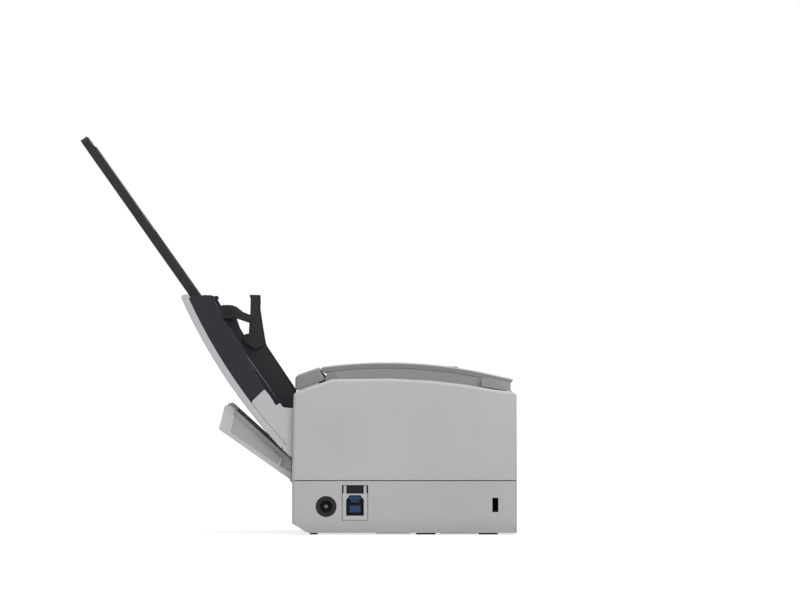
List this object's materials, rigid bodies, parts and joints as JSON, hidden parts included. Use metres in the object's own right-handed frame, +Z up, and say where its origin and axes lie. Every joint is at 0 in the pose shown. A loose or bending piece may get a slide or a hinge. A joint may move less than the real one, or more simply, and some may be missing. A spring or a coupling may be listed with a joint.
{
  "type": "document scanner",
  "caption": "Compact sheet-fed document scanner with an upright feeder lid, sliding guides, pull-out extension, opening top cover and a folding rear door.",
  "frame": {"origin": "at floor level, under the middle of the whole object as it stands open", "axes": "+X to the object's right seen from the front, front faces -Y, +Z up"},
  "size_m": [0.296, 0.2052, 0.1866],
  "materials": {
    "casing_grey": "fine moulded texture, light grey",
    "lid_grey": "smooth moulded, pale grey",
    "mid_grey": "moulded, mid grey",
    "plate_grey": "satin moulded, mid grey",
    "tray_charcoal": "fine moulded texture, blue charcoal",
    "guide_black": "moulded, near black",
    "inside_black": "plain moulded, black",
    "foot_rubber": "matte rubber",
    "roller_rubber": "ground rubber on steel shafts",
    "zinc_steel": "zinc plated sheet and pins",
    "nickel": "nickel plated shell",
    "usb_blue": "moulded, blue",
    "gear_white": "moulded acetal",
    "sensor_glass": "float glass",
    "board_green": "circuit board",
    "lamp_white": "translucent window"
  },
  "bodies": {
    "casing": {"base_casing": "casing_grey", "rubber_feet": "foot_rubber", "casing_screws": "zinc_steel", "side_cover_right": "casing_grey", "side_cover_left": "casing_grey", "side_wells": "tray_charcoal", "front_cover": "casing_grey", "chassis_plate": "zinc_steel", "frame_plate_left": "zinc_steel", "frame_plate_right": "zinc_steel", "shaft_bushes": "gear_white", "hinge_brackets": "zinc_steel", "hinge_pins": "zinc_steel", "rear_pod": "mid_grey", "inner_guide": "inside_black", "outer_guide": "inside_black", "lower_guide": "inside_black", "sensor_housings": "inside_black", "sensor_glasses": "sensor_glass", "drive_motor": "zinc_steel", "motor_bracket": "zinc_steel", "main_board": "board_green", "dc_jack": "inside_black", "usb_socket": "nickel", "usb_tongue": "usb_blue", "usb_bezel": "casing_grey", "lock_plate": "zinc_steel"},
    "lid": {"lid_skin": "lid_grey", "chute_tray": "tray_charcoal", "lid_arm_right": "lid_grey", "lid_arm_left": "lid_grey"},
    "extension_frame": {"extension_frame": "tray_charcoal"},
    "extension_slider": {"extension_slider": "tray_charcoal"},
    "guide_right": {"side_guide_right": "guide_black"},
    "guide_left": {"side_guide_left": "guide_black"},
    "guide_pinion": {"guide_pinion": "gear_white"},
    "post_right": {"stacker_post_right": "guide_black"},
    "post_left": {"stacker_post_left": "guide_black"},
    "brace_right": {"stacker_brace_right": "guide_black"},
    "brace_left": {"stacker_brace_left": "guide_black"},
    "rear_door": {"rear_door": "lid_grey", "door_liner": "mid_grey"},
    "top_cover": {"top_plate": "plate_grey", "upper_guide": "mid_grey", "lamp_window": "lamp_white"},
    "power_button": {"power_button": "mid_grey"},
    "scan_button": {"scan_button": "mid_grey"},
    "feed_roller": {"feed_roller": "roller_rubber"},
    "rear_transport_roller": {"transport_roller_rear": "roller_rubber"},
    "front_transport_roller": {"transport_roller_front": "roller_rubber"},
    "exit_roller": {"exit_roller": "roller_rubber"},
    "separation_roller": {"separation_roller": "roller_rubber"},
    "rear_pinch_roller": {"pinch_roller_rear": "roller_rubber"},
    "front_pinch_roller": {"pinch_roller_front": "roller_rubber"},
    "exit_pinch_roller": {"pinch_roller_exit": "roller_rubber"},
    "step_gear_1": {"step_gear_1": "gear_white"},
    "step_gear_2": {"step_gear_2": "gear_white"},
    "step_gear_3": {"step_gear_3": "gear_white"},
    "step_gear_4": {"step_gear_4": "gear_white"},
    "drive_pinion": {"drive_pinion": "gear_white"}
  },
  "joints": [
    {"name": "lid_hinge", "type": "hinge", "parent": "casing", "child": "lid", "pos_m": [0, -0.01686, 0.0604], "axis": [-1, 0, 0], "range_deg": [-126.3, 0]},
    {"name": "rear_door_hinge", "type": "hinge", "parent": "casing", "child": "rear_door", "pos_m": [0, 0.00194, 0.0256], "axis": [-1, 0, 0], "range_deg": [-54.8, 0]},
    {"name": "extension_frame_slide", "type": "slide", "parent": "lid", "child": "extension_frame", "axis": [0, 0.5764, 0.8171], "range_m": [-0.045, 0]},
    {"name": "extension_slider_slide", "type": "slide", "parent": "extension_frame", "child": "extension_slider", "axis": [0, 0.5764, 0.8171], "range_m": [-0.042, 0]},
    {"name": "guide_slide_right", "type": "slide", "parent": "lid", "child": "guide_right", "axis": [-1, 0, 0], "range_m": [0, 0.084]},
    {"name": "guide_slide_left", "type": "slide", "parent": "lid", "child": "guide_left", "axis": [1, 0, 0], "range_m": [0, 0.084]},
    {"name": "guide_pinion_spin", "type": "hinge", "parent": "lid", "child": "guide_pinion", "pos_m": [0, 0.01133, 0.06088], "axis": [0, -0.8171, 0.5764], "range_deg": [0, 1530]},
    {"name": "post_fold_right", "type": "hinge", "parent": "guide_right", "child": "post_right", "pos_m": [0.114, 0.02344, 0.0913], "axis": [1, 0, 0], "range_deg": [-37, 0]},
    {"name": "brace_fold_right", "type": "hinge", "parent": "guide_right", "child": "brace_right", "pos_m": [0.118, 0.03264, 0.1037], "axis": [-1, 0, 0], "range_deg": [-40, 0]},
    {"name": "post_fold_left", "type": "hinge", "parent": "guide_left", "child": "post_left", "pos_m": [-0.114, 0.02344, 0.0913], "axis": [1, 0, 0], "range_deg": [-37, 0]},
    {"name": "brace_fold_left", "type": "hinge", "parent": "guide_left", "child": "brace_left", "pos_m": [-0.118, 0.03264, 0.1037], "axis": [-1, 0, 0], "range_deg": [-40, 0]},
    {"name": "top_cover_hinge", "type": "hinge", "parent": "casing", "child": "top_cover", "pos_m": [0, -0.09546, 0.069], "axis": [1, 0, 0], "range_deg": [0, 45]},
    {"name": "power_button_press", "type": "slide", "parent": "top_cover", "child": "power_button", "axis": [0, 0, -1], "range_m": [0, 0.0008], "stiffness_N_per_m": 50, "springref_m": -0.0003},
    {"name": "scan_button_press", "type": "slide", "parent": "top_cover", "child": "scan_button", "axis": [0, 0, -1], "range_m": [0, 0.0008], "stiffness_N_per_m": 50, "springref_m": -0.0003},
    {"name": "front_transport_roller_spin", "type": "hinge", "parent": "casing", "child": "front_transport_roller", "pos_m": [0, -0.06456, 0.0185], "axis": [1, 0, 0], "continuous": true},
    {"name": "rear_transport_roller_spin", "type": "hinge", "parent": "casing", "child": "rear_transport_roller", "pos_m": [0, -0.03206, 0.0195], "axis": [1, 0, 0], "continuous": true},
    {"name": "step_gear_1_spin", "type": "hinge", "parent": "casing", "child": "step_gear_1", "pos_m": [0, -0.04831, 0.019], "axis": [1, 0, 0], "continuous": true},
    {"name": "step_gear_2_spin", "type": "hinge", "parent": "casing", "child": "step_gear_2", "pos_m": [0, -0.03466, 0.03255], "axis": [1, 0, 0], "continuous": true},
    {"name": "step_gear_3_spin", "type": "hinge", "parent": "casing", "child": "step_gear_3", "pos_m": [0, -0.02925, 0.04131], "axis": [1, 0, 0], "continuous": true},
    {"name": "feed_roller_spin", "type": "hinge", "parent": "casing", "child": "feed_roller", "pos_m": [0, -0.01706, 0.0374], "axis": [1, 0, 0], "continuous": true},
    {"name": "step_gear_4_spin", "type": "hinge", "parent": "casing", "child": "step_gear_4", "pos_m": [0, -0.02826, 0.04881], "axis": [1, 0, 0], "continuous": true},
    {"name": "exit_roller_spin", "type": "hinge", "parent": "casing", "child": "exit_roller", "pos_m": [0, -0.03806, 0.0588], "axis": [1, 0, 0], "continuous": true},
    {"name": "drive_pinion_spin", "type": "hinge", "parent": "casing", "child": "drive_pinion", "pos_m": [0, -0.07326, 0.0272], "axis": [1, 0, 0], "continuous": true},
    {"name": "separation_roller_spin", "type": "hinge", "parent": "casing", "child": "separation_roller", "pos_m": [0, -0.01706, 0.0191], "axis": [1, 0, 0], "continuous": true},
    {"name": "rear_pinch_roller_spin", "type": "hinge", "parent": "casing", "child": "rear_pinch_roller", "pos_m": [0, -0.03206, 0.0323], "axis": [1, 0, 0], "continuous": true},
    {"name": "front_pinch_roller_spin", "type": "hinge", "parent": "casing", "child": "front_pinch_roller", "pos_m": [0, -0.06456, 0.0328], "axis": [1, 0, 0], "continuous": true},
    {"name": "exit_pinch_roller_spin", "type": "hinge", "parent": "top_cover", "child": "exit_pinch_roller", "pos_m": [0, -0.03806, 0.071], "axis": [1, 0, 0], "continuous": true}
  ],
  "couplings": [
    {"joint": "rear_door_hinge", "follows": "lid_hinge", "ratio": 0.43207},
    {"joint": "guide_slide_left", "follows": "guide_slide_right", "ratio": 1},
    {"joint": "guide_pinion_spin", "follows": "guide_slide_right", "rad_per_m": 312.5},
    {"joint": "post_fold_right", "follows": "lid_hinge", "ratio": 0.29147},
    {"joint": "brace_fold_right", "follows": "lid_hinge", "ratio": 0.31517},
    {"joint": "post_fold_left", "follows": "lid_hinge", "ratio": 0.29147},
    {"joint": "brace_fold_left", "follows": "lid_hinge", "ratio": 0.31517},
    {"joint": "rear_transport_roller_spin", "follows": "front_transport_roller_spin", "ratio": 1},
    {"joint": "step_gear_1_spin", "follows": "front_transport_roller_spin", "ratio": -1.0053},
    {"joint": "step_gear_2_spin", "follows": "front_transport_roller_spin", "ratio": -1.6},
    {"joint": "step_gear_3_spin", "follows": "front_transport_roller_spin", "ratio": 1.6},
    {"joint": "feed_roller_spin", "follows": "front_transport_roller_spin", "ratio": -1.0667},
    {"joint": "step_gear_4_spin", "follows": "front_transport_roller_spin", "ratio": 0.97664},
    {"joint": "exit_roller_spin", "follows": "front_transport_roller_spin", "ratio": -1.4545},
    {"joint": "drive_pinion_spin", "follows": "front_transport_roller_spin", "ratio": -2},
    {"joint": "separation_roller_spin", "follows": "front_transport_roller_spin", "ratio": 1.4414},
    {"joint": "rear_pinch_roller_spin", "follows": "front_transport_roller_spin", "ratio": -1.4},
    {"joint": "front_pinch_roller_spin", "follows": "front_transport_roller_spin", "ratio": -1.4909},
    {"joint": "exit_pinch_roller_spin", "follows": "front_transport_roller_spin", "ratio": 2.7273}
  ]
}
